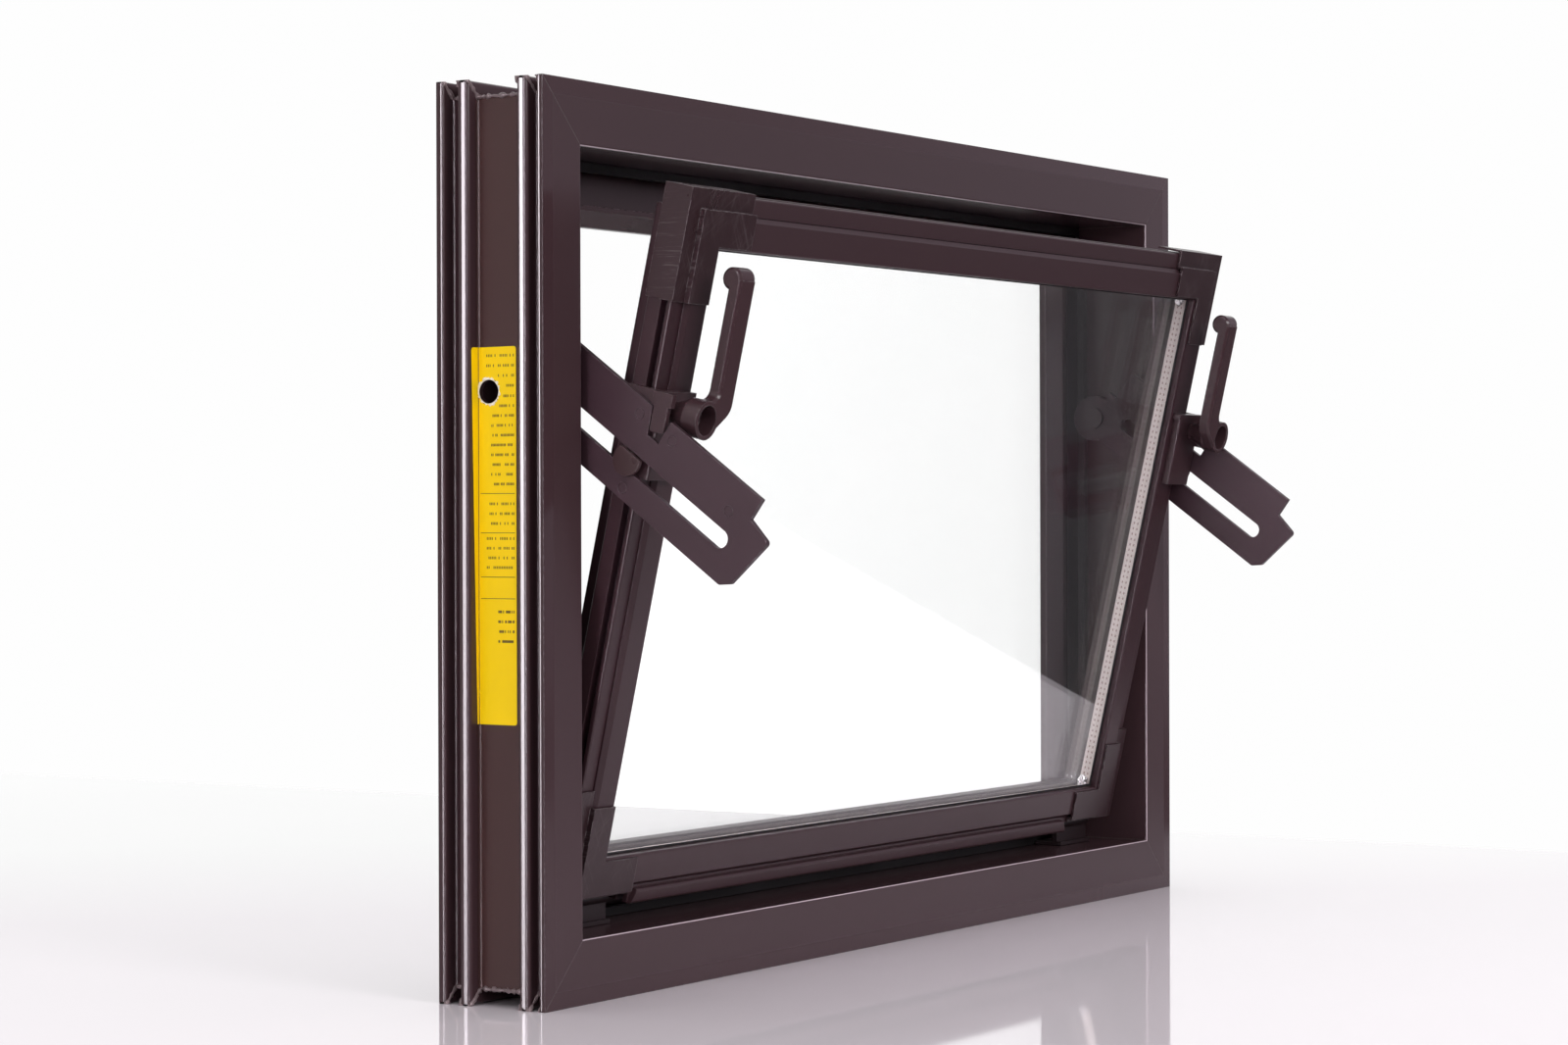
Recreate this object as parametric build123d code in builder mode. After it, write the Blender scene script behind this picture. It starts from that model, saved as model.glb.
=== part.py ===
from build123d import *
import os
from math import sin, cos, tan, asin, atan2, hypot, sqrt, radians

# Basement tilt window of brown plastic, shown with its sash tilted into the room.
# Millimetres, +Z up. The room is on the -Y side, the outside on the +Y side.
# Origin: middle of the lower outer edge of the frame, on its room-side face.

os.makedirs("parts", exist_ok=True)

# overall sizes of the frame
frame_w = 600.0          # outer width
frame_h = 400.0          # outer height
frame_d = 57.4           # depth, room face to outside face
face_w = 28.4            # width of the room-side face of a frame bar
stop_reach = 28.3        # the back stop stands this far inside that face
stop_t = 11.4            # thickness of the stop at its root
stop_bevel = 7.0         # slope at the inner edge of the stop
wall = 2.4               # wall of the frame bars

# grooves and ribs in the outer side of the frame, widths from the faces inward
groove_d = 7.0           # how deep all grooves are
front_flange = 3.3
front_groove = 5.2
front_rib = 5.5
back_flange = 4.4
back_groove = 7.3
back_rib = 6.0
rib_round = 1.8          # rounding on top of the two ribs
flange_round = 1.1       # rounding of the flanges and of the inner edges
groove_round = 0.9       # hollow rounding at the bottom of the grooves

# clearances
fit_gap = 0.2            # between neighbouring pieces
bore_gap = 0.3           # round the pins and between sliding faces

# seal in the corner of the stop
seal_w = 4.0
seal_t = 4.0

# place of the sash in the frame
tilt = 12.8              # lean of the sash into the room, degrees
sash_side_gap = 11.8     # jamb to sash, room for the stays
sash_under = 8.8         # lower frame bar to the foot of the sash
sash_over = 13.1         # head of the closed sash to the upper frame bar
sash_back_gap = 1.7      # back of the closed sash to the stop

# section of the sash bars, depths behind the front face of the outer band
sash_band = 8.2          # width of the outer band
sash_depth = 23.0        # band face to back face
sash_reach = 23.8        # outer edge to the inner edge of the bars
sash_wall = 1.8          # wall of the sash bars
sash_round = 0.9         # rounding of the outer edge
slot_front = 2.2         # start of the fitting groove in the edge of the sash
slot_back = 5.7          # end of that groove
slot_deep = 4.5          # how deep it is
sash_step_u = 13.2       # depth at which the edge of the sash steps inward
sash_step = 8.0          # how far it steps inward
rebate = 13.0            # outer edge to the wall beside the panes

# glazing beads
bead_proud = 2.6         # front face ahead of the band
bead_skin = 2.2          # foot of the bead behind the band face
bead_slope = 2.0         # width of the sloped edge beside the band
bead_round = 1.1         # rounding beside the glass

# glazing
glass_u = 1.8            # front of the room-side pane, behind the band face
pane_t = 4.0             # thickness of one pane
cavity = 6.0             # gap between the panes
glass_edge = 14.0        # outer edge of the sash to the edge of the panes
spacer_in = 21.9         # outer edge of the sash to the spacer's inner face
spacer_w = 6.5           # height of the spacer bar
lip_t = 0.8              # thickness of the glazing seals
lip_w = 5.0              # width of the glazing seals
lip_show = 0.9           # how far they stand past the bars, over the glass

# strip on the foot of the sash, and the notches beside it for the hinges
strip_h = 6.8            # height of the strip
strip_proud = 2.6        # how far it stands ahead of the band
strip_round = 1.6        # rounding of its upper edge
strip_short = 54.5       # edge of the sash to the upper end of the strip
strip_slant = 3.4        # its lower corner is this much longer
notch_h = 5.0            # height of the hinge notches in the sash
notch_len = 50.8         # edge of the sash to the end of a notch

# corner caps of the sash
cap_t = 1.2              # thickness of a cap
cap_leg = 50.0           # length of a leg of a cap
cap_over = 2.0           # cap stands out beyond the sash edge
cap_side = 13.0          # depth of the cap along the sash edge
cap_narrow = 1.2         # how far the cap stays back from the bead's inner edge
cap_foot_cut = 5.3       # lower caps end this far above the sash edge

# stay plates: along the slot, and above or below its middle line
stay_gap = 7.2           # jamb to the inner face of a stay
stay_t = 2.6             # thickness
slot_len = 100.3         # between the centres of the slot's round ends
slot_w = 8.1
stay_above = 25.8        # to the upper edge
stay_below = 16.2        # to the lower edge
shoulder_out = 7.7       # square shoulder ahead of the slot's room-side end
shoulder_q = 15.6        # height at which the shoulder ends
tab_out = 20.9           # upper corner of the end tab
tab_q = 12.6             # its height, above and below the slot
tab_low_out = 15.5       # lower corner of the tab
tab_heel_out = 11.0      # where the tab's slope meets the lower edge
tab_round = 2.0
hook_p = 115.0           # end of the stay's upper part
hook_q = 9.0             # depth of the step between upper part and nose
pivot_ahead = 119.9      # slot's room-side end to the pivot, along the slot
pivot_drop = 8.3         # the pivot lies this far below the slot's line
nose_r = 12.4            # round nose about the pivot
notch_play = 2.0         # floor of the locking notch below the tongue

# pivot pins in the jambs
pivot_in = 5.7           # pivot to the back wall of the frame's outer channel
pivot_top = 134.5        # pivot below the top of the frame
pin_r = 3.6
pin_head_r = 6.0
pin_head_t = 1.6
access_r = 5.2           # access hole for the pin in the outer side of the jamb

# slide pins, fixed to the lock cases and running in the slots of the stays
pin_depth = 2.4          # behind the band face of the sash
pin_below = 118.3        # below the top edge of the sash
slide_r = 3.7
slide_head_r = 7.0
slide_head_t = 2.0
slide_cut = 3.6          # the head is cut flat this far above the pin

# lock cases, heights counted from the slide pin, depths from the band face
case_low = -7.0          # lower end
case_high = 32.0         # upper end
case_front = 7.0         # front of the case, ahead of the band
case_back = 11.5         # its back, behind the band
case_in = 21.3           # edge of the sash to the inner edge of the case
case_body = 1.6          # the body lies this far inside its end plate
end_plate = 3.2          # thickness of the end plate
case_gap = 0.5           # outer face of the case to the stay
case_round = 1.0
arm_front = 14.0         # front of the arm over the stay
arm_back = 4.0           # back of the arm
arm_low = 25.9           # underside of the arm
tongue_front = 12.6      # tongue that drops into the notch of the stay
tongue_back = 5.2
tongue_low = 14.5        # its lower end
tongue_round = 1.2

# levers, distances from the edge of the sash, heights from the slide pin
lever_in = 5.0           # axis of the lever
lever_up = 23.3
shaft_r = 4.8            # neck of the hub at the case
cone_start = 9.5         # the hub widens between these distances from the band
cone_end = 17.5
boss_r = 8.6
boss_bore = 6.6
lever_back = 19.9        # back face of the lever bar
lever_front = 25.5       # its front face
bar_in = 17.4            # middle line of the bar
bar_w = 12.0
bar_bend = 26.9          # height of the outer corner of the elbow
bend_round = 9.0         # rounding of that corner
crook_round = 4.5        # hollow rounding on the inner side of the elbow
bar_high = 84.7          # middle of the bulb
bulb_r = 5.0
bulb_u = 20.2
bulb_bevel = 1.2         # bevel of its two ends
bar_bevel = 1.1          # bevel of the bar's front edges

# hinges in the notches below the sash
hinge_in = 26.8          # edge of the sash to the middle of a hinge
hinge_len = 34.0
hinge_r = 3.2
hinge_set = 7.7          # face of the sash foot to the axis of the knuckle
hinge_leaf_t = 2.0
hinge_leaf_front = 4.0   # the leaf reaches this far ahead of the axis
hinge_leaf_back = 12.0   # and this far behind it

# places that follow from the sizes
front_groove_end = front_flange + front_groove
front_rib_end = front_groove_end + front_rib
back_groove_end = frame_d - back_flange
back_rib_end = back_groove_end - back_groove
channel_end = back_rib_end - back_rib
stop_y = frame_d - stop_t
lean = radians(tilt)
opening_half = frame_w / 2 - face_w
sash_half_w = opening_half - sash_side_gap
sash_foot_y = stop_y - sash_back_gap - sash_depth
sash_foot_z = face_w + sash_under
sash_h = frame_h - 2 * face_w - sash_under - sash_over
stop_w = face_w + stop_reach
pin_v = sash_h - pin_below
stay_x = opening_half - stay_gap
case_side_x = sash_half_w + fit_gap
case_out = stay_x - case_gap

result = {}
sides = {"bottom": 0, "right": 90, "top": 180, "left": 270}

frame_face = Plane.XZ
sash_face = Plane(origin=(0, sash_foot_y, sash_foot_z), x_dir=(1, 0, 0),
                  z_dir=(0, -cos(lean), -sin(lean)))


def on_sash(depth, height):
    """World y and z of a point at this depth behind the band and height up the sash."""
    return (sash_foot_y + depth * cos(lean) - height * sin(lean),
            sash_foot_z + height * cos(lean) + depth * sin(lean))


def edge_plane(face, half_w, height, turn):
    """Plane on one outer edge of a rectangle: X along the edge, Y inward."""
    spot = {0: (0, 0), 90: (half_w, height / 2), 180: (0, height), 270: (-half_w, height / 2)}[turn]
    along = face.x_dir * cos(radians(turn)) + face.y_dir * sin(radians(turn))
    return Plane(origin=face.from_local_coords((spot[0], spot[1], 0)),
                 x_dir=along, z_dir=face.z_dir)


def section_plane(edge):
    """Plane across a bar: X inward from the outer edge, Y toward the room."""
    return Plane(origin=edge.origin, x_dir=edge.y_dir, z_dir=edge.x_dir)


def mitred_bar(edge, length, outline, voids, rounds, reach, front, back):
    """A bar of one section along an edge, its ends cut at 45 degrees."""
    with BuildPart() as bar:
        with BuildSketch(section_plane(edge)) as section:
            with BuildLine():
                Polyline(*outline, close=True)
            make_face()
            for radius, corners in rounds:
                for spot in corners:
                    fillet(section.vertices().sort_by_distance(spot)[0], radius)
            for x0, u0, x1, u1 in voids:
                with Locations(((x0 + x1) / 2, -(u0 + u1) / 2)):
                    Rectangle(x1 - x0, u1 - u0, mode=Mode.SUBTRACT)
        extrude(amount=length / 2, both=True)
        with BuildSketch(edge.offset(front)):
            with BuildLine():
                Polyline((-length / 2, 0), (length / 2, 0), (length / 2 - reach, reach),
                         (-length / 2 + reach, reach), close=True)
            make_face()
        extrude(amount=-(front + back), mode=Mode.INTERSECT)
    return bar


# outer frame: four hollow bars, mitred and welded
frame_outline = [
    (0, 0), (0, -front_flange), (groove_d, -front_flange), (groove_d, -front_groove_end),
    (0, -front_groove_end), (0, -front_rib_end), (groove_d, -front_rib_end),
    (groove_d, -channel_end), (0, -channel_end), (0, -back_rib_end),
    (groove_d, -back_rib_end), (groove_d, -back_groove_end), (0, -back_groove_end),
    (0, -frame_d), (stop_w, -frame_d), (stop_w, -stop_y - stop_bevel),
    (stop_w - stop_bevel, -stop_y), (face_w, -stop_y), (face_w, 0),
]
frame_rounds = [
    (rib_round, [frame_outline[4], frame_outline[5], frame_outline[8], frame_outline[9]]),
    (flange_round, [frame_outline[1], frame_outline[12], frame_outline[13], frame_outline[14],
                    frame_outline[15], frame_outline[16], frame_outline[18]]),
    (groove_round, [frame_outline[2], frame_outline[3], frame_outline[6], frame_outline[7],
                    frame_outline[10], frame_outline[11]]),
]
frame_voids = [
    (groove_d + wall, wall, face_w - wall, front_rib_end),
    (groove_d + wall, front_rib_end + wall, face_w - wall, channel_end),
    (groove_d + wall, channel_end + wall, stop_w - stop_bevel - wall, frame_d - wall),
]
for name, turn in sides.items():
    edge = edge_plane(frame_face, frame_w / 2, frame_h, turn)
    length = frame_w if turn in (0, 180) else frame_h
    result["frame_" + name] = mitred_bar(edge, length, frame_outline, frame_voids,
                                         frame_rounds, stop_w, 0, frame_d)

# access holes in the outer side of the jambs, in line with the stay pivots
pivot_y = channel_end - pivot_in
pivot_z = frame_h - pivot_top
for name, side in (("left", -1), ("right", 1)):
    with BuildPart() as jamb:
        add(result["frame_" + name].part)
        with BuildSketch(Plane.YZ.offset(side * frame_w / 2)):
            with Locations((pivot_y, pivot_z)):
                Circle(access_r)
        extrude(amount=-side * (groove_d + wall + fit_gap), mode=Mode.SUBTRACT)
    result["frame_" + name] = jamb

# one ring of seal in the corner of the stop
with BuildPart() as frame_seal:
    with BuildSketch(frame_face.offset(-(stop_y - fit_gap - seal_t))):
        with Locations((0, frame_h / 2)):
            Rectangle(frame_w - 2 * (face_w + fit_gap), frame_h - 2 * (face_w + fit_gap))
            Rectangle(frame_w - 2 * (face_w + fit_gap + seal_w),
                      frame_h - 2 * (face_w + fit_gap + seal_w), mode=Mode.SUBTRACT)
    extrude(amount=-seal_t)
result["frame_seal"] = frame_seal

# sash bars, mitred, with a rebate for the panes and a groove for the fittings
glass_back = glass_u + 2 * pane_t + cavity
sash_outline = [
    (0, 0), (0, -slot_front), (slot_deep, -slot_front), (slot_deep, -slot_back),
    (0, -slot_back), (0, -sash_step_u), (sash_step, -sash_step_u),
    (sash_step, -sash_depth), (sash_reach, -sash_depth), (sash_reach, -glass_back - lip_t),
    (rebate, -glass_back - lip_t), (rebate, -bead_skin), (sash_band, -bead_skin),
    (sash_band, 0),
]
sash_rounds = [(sash_round, [sash_outline[0], sash_outline[5], sash_outline[7],
                             sash_outline[8]])]
sash_voids = [
    (slot_deep + sash_wall, bead_skin + sash_wall, rebate - sash_wall, sash_step_u - sash_wall),
    (sash_step + sash_wall, glass_back + lip_t + sash_wall, sash_reach - sash_wall,
     sash_depth - sash_wall),
]
bead_edge = sash_band + fit_gap
bead_back = bead_skin - fit_gap
bead_outline = [
    (bead_edge, bead_proud - bead_slope), (bead_edge, -bead_back),
    (rebate + fit_gap, -bead_back), (rebate + fit_gap, -glass_u + lip_t),
    (sash_reach, -glass_u + lip_t), (sash_reach, bead_proud),
    (bead_edge + bead_slope, bead_proud),
]
bead_rounds = [(bead_round, [bead_outline[5]])]
for name, turn in sides.items():
    edge = edge_plane(sash_face, sash_half_w, sash_h, turn)
    length = 2 * sash_half_w if turn in (0, 180) else sash_h
    result["sash_" + name] = mitred_bar(edge, length, sash_outline, sash_voids,
                                        sash_rounds, sash_reach, 0, sash_depth)
    result["bead_" + name] = mitred_bar(edge, length, bead_outline, [], bead_rounds,
                                        sash_reach, bead_proud, sash_depth)

# hinge notches in the two lower corners of the sash, cut across the mitres
for name in ("bottom", "left", "right"):
    with BuildPart() as notched:
        add(result["sash_" + name].part)
        with BuildSketch(sash_face):
            for side in (-1, 1):
                with Locations((side * (sash_half_w - notch_len / 2), notch_h / 2)):
                    Rectangle(notch_len + 2 * fit_gap, notch_h)
        extrude(amount=-sash_depth, mode=Mode.SUBTRACT)
    result["sash_" + name] = notched

# rounded strip on the foot of the sash, its ends cut aslant
strip_low = sash_half_w - strip_short + strip_slant
strip_high = sash_half_w - strip_short
with BuildPart() as foot_strip:
    with BuildSketch(sash_face):
        with BuildLine():
            Polyline((-strip_low, 0), (strip_low, 0), (strip_high, strip_h),
                     (-strip_high, strip_h), close=True)
        make_face()
    extrude(amount=strip_proud)
    fillet(foot_strip.faces().sort_by(Axis(sash_face.origin, sash_face.z_dir))[-1]
           .edges().filter_by(Axis.X), strip_round)
result["foot_strip"] = foot_strip


def sash_ring(depth, thick, outer, inner):
    """A flat rectangular ring in the sash; a full sheet if inner is zero."""
    with BuildPart() as ring:
        with BuildSketch(sash_face.offset(-depth)):
            with Locations((0, sash_h / 2)):
                Rectangle(2 * (sash_half_w - outer), sash_h - 2 * outer)
                if inner:
                    Rectangle(2 * (sash_half_w - inner), sash_h - 2 * inner, mode=Mode.SUBTRACT)
        extrude(amount=-thick)
    return ring


# sealed double glazing, held between two thin seals
lip_in = sash_reach + lip_show
result["pane_room"] = sash_ring(glass_u, pane_t, glass_edge, 0)
result["spacer"] = sash_ring(glass_u + pane_t, cavity, spacer_in - spacer_w, spacer_in)
result["pane_outside"] = sash_ring(glass_u + pane_t + cavity, pane_t, glass_edge, 0)
result["glazing_seal_room"] = sash_ring(glass_u - lip_t, lip_t, lip_in - lip_w, lip_in)
result["glazing_seal_outside"] = sash_ring(glass_back, lip_t, lip_in - lip_w, lip_in)


# corner caps: moulded angles pushed over the sash corners from the front
def angle_outline(side, out, far, edge_v, leg, wide_s, wide_v):
    """L-shaped outline with its outer corner at (side * far, edge_v)."""
    return [(side * far, edge_v), (side * (far - leg), edge_v),
            (side * (far - leg), edge_v - out * wide_v),
            (side * (far - wide_s), edge_v - out * wide_v),
            (side * (far - wide_s), edge_v - out * leg), (side * far, edge_v - out * leg)]


def corner_cap(side, top):
    """Cap on one corner; side is -1 for left, top tells upper from lower."""
    out = 1 if top else -1
    far = sash_half_w + cap_over
    edge_v = sash_h + cap_over if top else cap_foot_cut
    extra = cap_over if top else -cap_foot_cut
    wide_s = sash_reach - cap_narrow + cap_over
    wide_v = sash_reach - cap_narrow + extra
    step_s = sash_band - fit_gap + cap_over
    step_v = sash_band - fit_gap + extra
    with BuildPart() as cap:
        # lower front level, over the outer band of the sash
        with BuildSketch(sash_face.offset(fit_gap)):
            with BuildLine():
                Polyline(*angle_outline(side, out, far, edge_v, cap_leg, step_s, step_v),
                         close=True)
            make_face()
        extrude(amount=cap_t)
        # raised front level, over the glazing bead
        with BuildSketch(sash_face.offset(fit_gap)):
            with BuildLine():
                Polyline(*angle_outline(side, out, far - step_s + cap_t,
                                        edge_v - out * (step_v - cap_t),
                                        cap_leg - step_s + cap_t, wide_s - step_s + cap_t,
                                        wide_v - step_v + cap_t), close=True)
            make_face()
        extrude(amount=bead_proud + cap_t)
        with BuildSketch(sash_face.offset(fit_gap)):
            with BuildLine():
                Polyline(*angle_outline(side, out, far - step_s, edge_v - out * step_v,
                                        cap_leg, wide_s, wide_v), close=True)
            make_face()
        extrude(amount=bead_proud, mode=Mode.SUBTRACT)
        # side walls along the sash edges
        with BuildSketch(sash_face.offset(fit_gap)):
            with Locations((side * (far - cap_t / 2), edge_v - out * cap_leg / 2)):
                Rectangle(cap_t, cap_leg)
            if top:
                with Locations((side * (far - cap_leg / 2), edge_v - out * cap_t / 2)):
                    Rectangle(cap_leg, cap_t)
        extrude(amount=-(cap_side + fit_gap))
    return cap


for top, row in ((True, "top"), (False, "bottom")):
    for side, column in ((-1, "left"), (1, "right")):
        result["cap_" + row + "_" + column] = corner_cap(side, top)

# Each stay turns about its pivot in the jamb, and its slot runs on the slide pin of
# the sash. The two points give the slope of the stay and the pin's place in the slot.
pin_y, pin_z = on_sash(pin_depth, pin_v)
reach = hypot(pivot_y - pin_y, pivot_z - pin_z)
slope = atan2(pivot_z - pin_z, pivot_y - pin_y) + asin(pivot_drop / reach)
slide_p = pivot_ahead - sqrt(reach ** 2 - pivot_drop ** 2)
# the stay is drawn as seen from the jamb, with heights above the slot along -Y
stay_plane = Plane(origin=(-stay_x, pin_y - slide_p * cos(slope), pin_z - slide_p * sin(slope)),
                   x_dir=(0, cos(slope), sin(slope)), z_dir=(-1, 0, 0))
up = -1


def on_stay(depth, height):
    """Place along the slot and height above it, in the stay, of a point of the sash."""
    y, z = on_sash(depth, height)
    return ((y - pin_y) * cos(slope) + (z - pin_z) * sin(slope) + slide_p,
            (z - pin_z) * cos(slope) - (y - pin_y) * sin(slope))


# locking notch: one wall square to the slot, the other along the tongue
tip_p, tip_q = on_stay(-tongue_front, pin_v + tongue_low)
heel_p, heel_q = on_stay(-tongue_back, pin_v + tongue_low)
drift = tan(slope - lean)
notch_top = stay_above + stay_t
notch_floor = heel_q - notch_play
notch_outline = [
    (tip_p - bore_gap, up * notch_top), (tip_p - bore_gap, up * notch_floor),
    (heel_p + 2 * bore_gap - drift * notch_play, up * notch_floor),
    (heel_p + 2 * bore_gap + drift * (notch_top - heel_q), up * notch_top),
]
with BuildPart() as left_stay:
    with BuildSketch(stay_plane) as stay_shape:
        with BuildLine():
            Polyline((-shoulder_out, up * stay_above), (-shoulder_out, up * shoulder_q),
                     (-tab_out, up * tab_q), (-tab_low_out, -up * tab_q),
                     (-tab_heel_out, -up * stay_below), (pivot_ahead, -up * stay_below),
                     (pivot_ahead, up * hook_q), (hook_p, up * hook_q),
                     (hook_p, up * stay_above), close=True)
        make_face()
        for corner in ((-tab_out, up * tab_q), (-tab_low_out, -up * tab_q),
                       (-tab_heel_out, -up * stay_below), (hook_p, up * stay_above)):
            fillet(stay_shape.vertices().sort_by_distance(corner)[0], tab_round)
        with BuildLine():
            Polyline(*notch_outline, close=True)
        make_face(mode=Mode.SUBTRACT)
        with Locations((pivot_ahead, -up * pivot_drop)):
            Circle(nose_r)
        with Locations((slot_len / 2, 0)):
            SlotCenterToCenter(slot_len, slot_w, mode=Mode.SUBTRACT)
        with Locations((pivot_ahead, -up * pivot_drop)):
            Circle(pin_r + bore_gap, mode=Mode.SUBTRACT)
    extrude(amount=stay_t)

# pivot pins in the jambs, with a head on each side of the stay
with BuildPart() as left_stay_pivot:
    with BuildSketch(stay_plane.offset(stay_gap)):
        with Locations((pivot_ahead, -up * pivot_drop)):
            Circle(pin_r)
    extrude(amount=-(stay_gap + bore_gap + pin_head_t))
    with BuildSketch(stay_plane.offset(-bore_gap)):
        with Locations((pivot_ahead, -up * pivot_drop)):
            Circle(pin_head_r)
    extrude(amount=-pin_head_t)
    with BuildSketch(stay_plane.offset(stay_t + bore_gap)):
        with Locations((pivot_ahead, -up * pivot_drop)):
            Circle(pin_head_r)
    extrude(amount=stay_gap - stay_t - bore_gap)

# slide pins, with a head that laps over the lower edge of the slot
head_start = stay_t + bore_gap
with BuildPart() as left_slide_pin:
    with BuildSketch(stay_plane.offset(case_out - stay_x)):
        with Locations((slide_p, 0)):
            Circle(slide_r)
    extrude(amount=head_start + case_gap)
    with BuildSketch(stay_plane.offset(head_start)):
        with Locations((slide_p, 0)):
            Circle(slide_head_r)
        with Locations((slide_p, up * (slide_cut + slide_head_r / 2))):
            Rectangle(2 * slide_head_r, slide_head_r, mode=Mode.SUBTRACT)
    extrude(amount=slide_head_t)

# lock cases on the stiles, each with an arm over the stay and a tongue in its notch
case_base = bead_proud + fit_gap
plate_in = sash_half_w - case_in
body_in = plate_in + case_body
stay_out = stay_x + stay_t
# seen from above the case: X toward the jamb, Y toward the room
case_up = Plane(origin=sash_face.origin, x_dir=(-1, 0, 0), z_dir=sash_face.y_dir)
with BuildPart() as left_lock_case:
    with BuildSketch(case_up.offset(pin_v + case_low)) as case_shape:
        with BuildLine():
            Polyline((body_in, case_base), (body_in, case_front), (case_out, case_front),
                     (case_out, -case_back), (case_side_x, -case_back),
                     (case_side_x, case_base), close=True)
        make_face()
        for corner in ((body_in, case_front), (case_out, case_front)):
            fillet(case_shape.vertices().sort_by_distance(corner)[0], case_round)
    extrude(amount=case_high - case_low - end_plate)
    with BuildSketch(case_up.offset(pin_v + case_high - end_plate)):
        with BuildLine():
            Polyline((plate_in, case_base), (plate_in, case_front), (case_out, case_front),
                     (case_out, -case_back), (case_side_x, -case_back),
                     (case_side_x, case_base), close=True)
        make_face()
    extrude(amount=end_plate)
    with BuildSketch(case_up.offset(pin_v + arm_low)):
        with BuildLine():
            Polyline((case_side_x, case_front), (case_out, case_front), (case_out, arm_front),
                     (stay_out, arm_front), (stay_out, arm_back), (case_side_x, arm_back),
                     close=True)
        make_face()
    extrude(amount=case_high - arm_low)
    with BuildSketch(Plane.YZ.offset(-stay_x)) as tongue_shape:
        corners = [on_sash(-tongue_front, pin_v + tongue_low),
                   on_sash(-tongue_back, pin_v + tongue_low),
                   on_sash(-tongue_back, pin_v + arm_low + fit_gap),
                   on_sash(-tongue_front, pin_v + arm_low + fit_gap)]
        with BuildLine():
            Polyline(*corners, close=True)
        make_face()
        for corner in corners[:2]:
            fillet(tongue_shape.vertices().sort_by_distance(corner)[0], tongue_round)
    extrude(amount=-stay_t)

# levers: a hub that widens from the case to a bored front, an elbow, a bar and a bulb
lever_x = sash_half_w - lever_in
lever_v = pin_v + lever_up
bar_x = sash_half_w - bar_in
bar_edge = bar_x - bar_w / 2
hub_plane = Plane(origin=sash_face.from_local_coords((-lever_x, lever_v, 0)),
                  x_dir=(1, 0, 0), z_dir=sash_face.y_dir)
with BuildPart() as left_bulb:
    with BuildSketch(Plane(origin=sash_face.from_local_coords((-bar_x - bar_w / 2, 0, 0)),
                           x_dir=sash_face.z_dir, z_dir=(1, 0, 0))):
        with Locations((bulb_u, -(pin_v + bar_high))):
            Circle(bulb_r)
    extrude(amount=bar_w)
    chamfer(left_bulb.edges().filter_by(GeomType.CIRCLE), bulb_bevel)
with BuildPart() as left_lever:
    with BuildSketch(sash_face.offset(lever_back)) as bar_shape:
        with BuildLine():
            Polyline((-bar_edge, pin_v + bar_high), (-bar_edge, pin_v + bar_bend),
                     (-lever_x + boss_r / 2, lever_v - boss_r * cos(radians(30))),
                     (-lever_x, lever_v), (-lever_x, lever_v + boss_r),
                     (-bar_edge - bar_w, lever_v + boss_r), (-bar_edge - bar_w, pin_v + bar_high),
                     close=True)
        make_face()
        fillet(bar_shape.vertices().sort_by_distance((-bar_edge, pin_v + bar_bend))[0], bend_round)
        fillet(bar_shape.vertices().sort_by_distance((-bar_edge - bar_w, lever_v + boss_r))[0],
               crook_round)
    extrude(amount=lever_front - lever_back)
    across = Axis(sash_face.origin, sash_face.z_dir)
    upright = Axis(sash_face.origin, sash_face.y_dir)
    front_edges = left_lever.faces().sort_by(across)[-1].edges().sort_by(upright)
    chamfer(front_edges[:-1], bar_bevel)
    add(left_bulb.part)
    with BuildSketch(hub_plane):
        with BuildLine():
            Polyline((0, -case_front - fit_gap), (shaft_r, -case_front - fit_gap),
                     (shaft_r, -cone_start), (boss_r, -cone_end), (boss_r, -lever_front),
                     (0, -lever_front), close=True)
        make_face()
    revolve(axis=Axis(hub_plane.origin, sash_face.z_dir))
    with BuildSketch(sash_face.offset(lever_front)):
        with Locations((-lever_x, lever_v)):
            Circle(boss_bore)
    extrude(amount=-(lever_front - cone_end), mode=Mode.SUBTRACT)

# hinges between the lower frame bar and the notches of the sash
notch_y, notch_z = on_sash(0, notch_h)
hinge_y = sash_foot_y + hinge_set
hinge_z = notch_z + (hinge_y - notch_y) * tan(lean) - (hinge_r + fit_gap) / cos(lean)
leaf_z = face_w + fit_gap
hinge_x = sash_half_w - hinge_in
with BuildPart() as left_hinge:
    with BuildSketch(Plane.YZ.offset(-hinge_x - hinge_len / 2)):
        with Locations((hinge_y - hinge_leaf_front, leaf_z)):
            Rectangle(hinge_leaf_front + hinge_leaf_back, hinge_leaf_t,
                      align=(Align.MIN, Align.MIN))
        with Locations((hinge_y, hinge_z)):
            Circle(hinge_r)
        with Locations((hinge_y, (leaf_z + hinge_z) / 2)):
            Rectangle(hinge_r, hinge_z - leaf_z)
    extrude(amount=hinge_len)

left_pieces = {
    "stay": left_stay, "stay_pivot": left_stay_pivot, "slide_pin": left_slide_pin,
    "lock_case": left_lock_case, "lever": left_lever, "hinge": left_hinge,
}
for name, piece in left_pieces.items():
    with BuildPart() as twin:
        mirror(piece.part, about=Plane.YZ)
    result["left_" + name] = piece
    result["right_" + name] = twin

for name, piece in result.items():
    piece.part.label = name
    export_step(piece.part, "parts/" + name + ".step")
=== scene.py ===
import random
from math import sin, cos, radians, pi, hypot

import bpy
import bmesh
from mathutils import Matrix, Vector


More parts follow.
